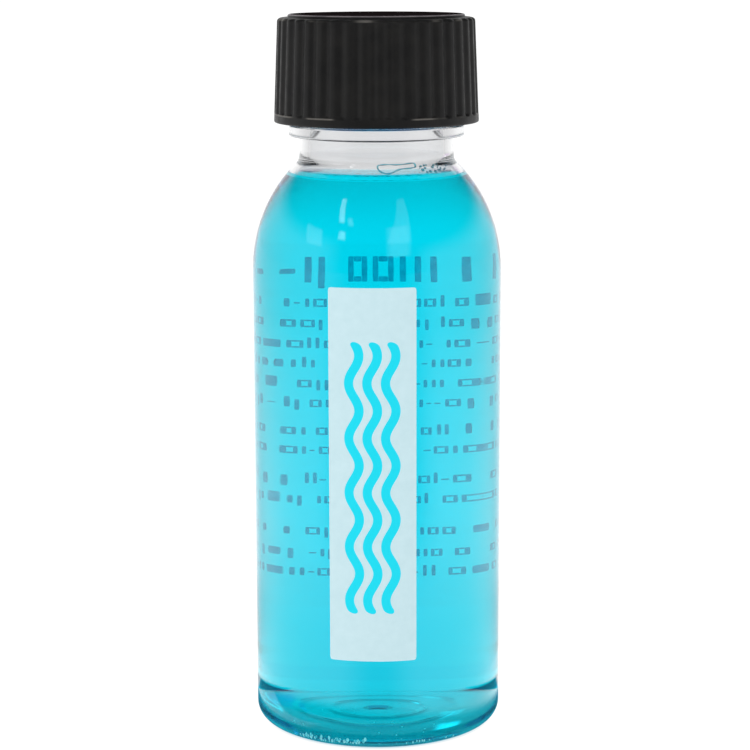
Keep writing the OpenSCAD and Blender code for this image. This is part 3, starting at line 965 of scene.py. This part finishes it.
# two crescents of light that came through the liquid, one at each side of the foot
cres = math_node(nt, "ADD", math_node(nt, "MULTIPLY", far, 1000.0), math_node(nt, "MULTIPLY", math_node(nt, "SUBTRACT", side, 88.0), 0.25))
cres = math_node(nt, "SUBTRACT", cres, 26.3)
cres_w = math_node(nt, "MULTIPLY", math_node(nt, "SUBTRACT", side, 66.0), 0.107)
glow = math_node(nt, "MULTIPLY", remap(nt, cres, -0.35, 0.25, 0.0, 1.0, smooth=True),
                 remap(nt, math_node(nt, "SUBTRACT", cres, cres_w), -0.25, 0.35, 1.0, 0.0, smooth=True))
glow = math_node(nt, "MULTIPLY", glow, math_node(nt, "MULTIPLY", remap(nt, side, 68.0, 73.0, 0.0, 1.0), remap(nt, side, 116.0, 124.0, 1.0, 0.0)))
mirror = math_node(nt, "ADD", math_node(nt, "MULTIPLY", mirror, math_node(nt, "SUBTRACT", 1.0, glow)),
                   math_node(nt, "MULTIPLY", glow, remap(nt, side, 84.0, 110.0, 4.2, 2.1)))
# what is seen through the bottle: brightest straight behind
through = math_node(nt, "MULTIPLY", remap(nt, math_node(nt, "SUBTRACT", 180.0, side), 4.0, 58.0, 1.03, 0.72, smooth=True),
                    remap(nt, far, 0.02, 0.11, 0.9, 1.0, smooth=True))
lp = nt.nodes.new("ShaderNodeLightPath")
level = nt.nodes.new("ShaderNodeMix")
level.data_type = "FLOAT"
nt.links.new(lp.outputs["Is Transmission Ray"], level.inputs["Factor"])
nt.links.new(mirror, level.inputs["A"])
nt.links.new(through, level.inputs["B"])
level2 = nt.nodes.new("ShaderNodeMix")
level2.data_type = "FLOAT"
nt.links.new(lp.outputs["Is Camera Ray"], level2.inputs["Factor"])
nt.links.new(level.outputs["Result"], level2.inputs["A"])
level2.inputs["B"].default_value = 1.03
level3 = nt.nodes.new("ShaderNodeMix")
level3.data_type = "FLOAT"
nt.links.new(lp.outputs["Is Diffuse Ray"], level3.inputs["Factor"])
nt.links.new(level2.outputs["Result"], level3.inputs["A"])
level3.inputs["B"].default_value = 0.78
# under the bottle only light that came through the liquid arrives
under = remap(nt, far, 0.0118, 0.0138, 0.0, 1.0, smooth=True)
em = nt.nodes.new("ShaderNodeMix")
em.data_type = "RGBA"
em.inputs["A"].default_value = (0.0, 0.32, 0.47, 1)
em.inputs["B"].default_value = (1.0, 1.0, 1.0, 1)
# so it does in the near shade that mirrors see
seen = math_node(nt, "MAXIMUM", math_node(nt, "MAXIMUM", lp.outputs["Is Camera Ray"], lp.outputs["Is Transmission Ray"]), lp.outputs["Is Diffuse Ray"])
tinted = math_node(nt, "MULTIPLY", math_node(nt, "MAXIMUM", math_node(nt, "SUBTRACT", 1.0, shade), glow), math_node(nt, "SUBTRACT", 1.0, seen))
nt.links.new(math_node(nt, "MULTIPLY", under, math_node(nt, "SUBTRACT", 1.0, tinted)), em.inputs["Factor"])
nt.links.new(em.outputs["Result"], b.inputs["Emission Color"])
nt.links.new(level3.outputs["Result"], b.inputs["Emission Strength"])
floor.data.materials.append(m_floor)

world = bpy.data.worlds.new("studio")
bpy.context.scene.world = world
world.use_nodes = True
wt = world.node_tree
bg = wt.nodes["Background"]
bg.inputs["Color"].default_value = (1, 1, 1, 1)
wdir = wt.nodes.new("ShaderNodeTexCoord").outputs["Generated"]
turn, rise = compass(wt, wdir)
side = math_node(wt, "ABSOLUTE", turn)
# for mirrors: bright low band to the sides and behind, dark above and in front, and soft strips of light
sides = remap(wt, side, 30.0, 62.0, 0.0, 1.0, smooth=True)
lift = math_node(wt, "MULTIPLY", remap(wt, turn, -40.0, 40.0, 1.0, 0.0), 6.0)        # the band stands higher on the left
behind = remap(wt, side, 140.0, 160.0, 0.0, 9.0, smooth=True)                           # and straight behind
band = remap(wt, math_node(wt, "SUBTRACT", rise, math_node(wt, "ADD", lift, behind)), 8.0, 22.0, 1.0, 0.0, smooth=True)
mirror = math_node(wt, "MULTIPLY", math_node(wt, "MULTIPLY", sides, band), 1.1)
# each strip: turn and half width low down and high up, the rise it starts and ends at, its soft edge and its strength
for ta, wa, tb, wb, r0, r1, e, power in ((22.0, 10.5, 36.0, 4.5, 24.0, 55.0, 2.5, 1.0), (21.0, 6.0, 23.0, 7.5, 14.0, 34.0, 8.0, 1.2),
                                         (-40.0, 2.6, -48.5, 2.6, 38.0, 53.0, 1.8, 4.6), (-35.8, 3.0, -36.2, 2.6, 25.5, 29.0, 1.8, 4.2),
                                         (-29.0, 2.0, -31.0, 2.0, 37.0, 40.0, 2.0, 2.0), (-64.0, 7.5, -68.0, 8.5, 18.0, 26.5, 3.0, 1.6)):
    mid = remap(wt, rise, r0, r1, ta, tb)
    half = remap(wt, rise, r0, r1, wa, wb)
    off = math_node(wt, "SUBTRACT", math_node(wt, "ABSOLUTE", math_node(wt, "SUBTRACT", turn, mid)), half)
    strip = math_node(wt, "MULTIPLY", remap(wt, off, 0.0, e, 1.0, 0.0, smooth=True), window(wt, rise, r0, r1, 2.5, 2.5))
    mirror = math_node(wt, "ADD", mirror, math_node(wt, "MULTIPLY", strip, power))
mirror = math_node(wt, "ADD", mirror, 0.012)
# for what is seen through the bottle: brightest straight behind, darker higher up, and pale again overhead
through = math_node(wt, "ADD", remap(wt, rise, -2.0, 14.0, 1.0, 0.84, smooth=True),
                    math_node(wt, "ADD", remap(wt, rise, 14.0, 36.0, 0.0, -0.37, smooth=True), remap(wt, rise, 56.0, 74.0, 0.0, 0.4, smooth=True)))
through = math_node(wt, "MULTIPLY", through, remap(wt, math_node(wt, "SUBTRACT", 180.0, side), 4.0, 58.0, 1.03, 0.72, smooth=True))
hot = math_node(wt, "MULTIPLY", window(wt, turn, -162.5, -157.0, 3.5, 3.5), window(wt, rise, 31.5, 36.0, 3.0, 4.0))
through = math_node(wt, "ADD", through, math_node(wt, "MULTIPLY", hot, 1.3))
# two fine slanting streaks: the turn and rise one starts at, the rise it gains for each degree, its end and its strength
for t0, r0, gain, t1, power in ((122.0, 17.0, 0.28, 147.0, 1.3), (131.0, 11.5, 0.66, 147.0, 1.0)):
    off = math_node(wt, "ABSOLUTE", math_node(wt, "SUBTRACT", rise, math_node(wt, "ADD", math_node(wt, "MULTIPLY", math_node(wt, "SUBTRACT", turn, t0), gain), r0)))
    fine = math_node(wt, "MULTIPLY", remap(wt, off, 0.35, 1.0, 1.0, 0.0, smooth=True), window(wt, turn, t0, t1, 3.0, 3.0))
    through = math_node(wt, "ADD", through, math_node(wt, "MULTIPLY", fine, power))
lp = wt.nodes.new("ShaderNodeLightPath")
# and a pane of bluer light low down behind
pane = math_node(wt, "MULTIPLY", window(wt, turn, 139.0, 157.0, 1.5, 1.5), window(wt, rise, 10.0, 20.0, 1.5, 1.0))
pane = math_node(wt, "MULTIPLY", pane, lp.outputs["Is Transmission Ray"])
cool = wt.nodes.new("ShaderNodeMix")
cool.data_type = "RGBA"
cool.inputs["A"].default_value = (1.0, 1.0, 1.0, 1)
cool.inputs["B"].default_value = (1.0, 0.84, 1.06, 1)
wt.links.new(pane, cool.inputs["Factor"])
wt.links.new(cool.outputs["Result"], bg.inputs["Color"])
mix1 = wt.nodes.new("ShaderNodeMix")
mix1.data_type = "FLOAT"
nt_l = wt.links
nt_l.new(lp.outputs["Is Transmission Ray"], mix1.inputs["Factor"])
nt_l.new(mirror, mix1.inputs["A"])
nt_l.new(through, mix1.inputs["B"])
mix2 = wt.nodes.new("ShaderNodeMix")
mix2.data_type = "FLOAT"
nt_l.new(lp.outputs["Is Camera Ray"], mix2.inputs["Factor"])
nt_l.new(mix1.outputs["Result"], mix2.inputs["A"])
mix2.inputs["B"].default_value = 1.03
mix3 = wt.nodes.new("ShaderNodeMix")
mix3.data_type = "FLOAT"
nt_l.new(lp.outputs["Is Diffuse Ray"], mix3.inputs["Factor"])
nt_l.new(mix2.outputs["Result"], mix3.inputs["A"])
mix3.inputs["B"].default_value = 0.70
nt_l.new(mix3.outputs["Result"], bg.inputs["Strength"])


def area(name, loc, target, size, size_y, power, glossy=True):
    li = bpy.data.lights.new(name, "AREA")
    li.shape = "RECTANGLE"
    li.size, li.size_y = size, size_y
    li.energy = power
    ob = bpy.data.objects.new(name, li)
    bpy.context.scene.collection.objects.link(ob)
    ob.location = loc
    d = Vector(target) - Vector(loc)
    ob.rotation_euler = d.to_track_quat("-Z", "Y").to_euler()
    ob.visible_glossy = glossy
    ob.visible_transmission = glossy
    ob.visible_camera = False
    return ob


area("key_left", (-0.30, -0.42, 0.34), (0, 0, 0.045), 0.22, 0.34, 0.85, glossy=False)
area("key_right", (0.26, -0.48, 0.30), (0, 0, 0.045), 0.20, 0.30, 0.46, glossy=False)

# ------------------------------------------------------------------ camera
cam_data = bpy.data.cameras.new("camera")
cam = bpy.data.objects.new("camera", cam_data)
bpy.context.scene.collection.objects.link(cam)
cam_data.sensor_width = 36.0
cam_data.lens = 111.84
cam_data.clip_start = 0.005
cam_data.clip_end = 30.0
cam.location = (-0.00026, -0.2676, 0.0901)
cam.rotation_mode = "XYZ"
base_rot = Euler((math.radians(90 - 10.4), 0, 0), "XYZ").to_matrix()
roll = Euler((0, 0, math.radians(-0.17)), "XYZ").to_matrix()
cam.rotation_euler = (base_rot @ roll).to_euler("XYZ")
bpy.context.scene.camera = cam

sc = bpy.context.scene
sc.view_settings.view_transform = "Standard"
sc.view_settings.look = "None"
sc.cycles.max_bounces = 96
sc.cycles.transmission_bounces = 96
sc.cycles.glossy_bounces = 96
sc.cycles.transparent_max_bounces = 16
sc.cycles.diffuse_bounces = 3
sc.cycles.caustics_reflective = False
sc.cycles.caustics_refractive = False
sc.cycles.use_denoising = True
sc.cycles.denoiser = "OPENIMAGEDENOISE"
sc.cycles.sample_clamp_indirect = 8.0

bpy.context.view_layer.update()
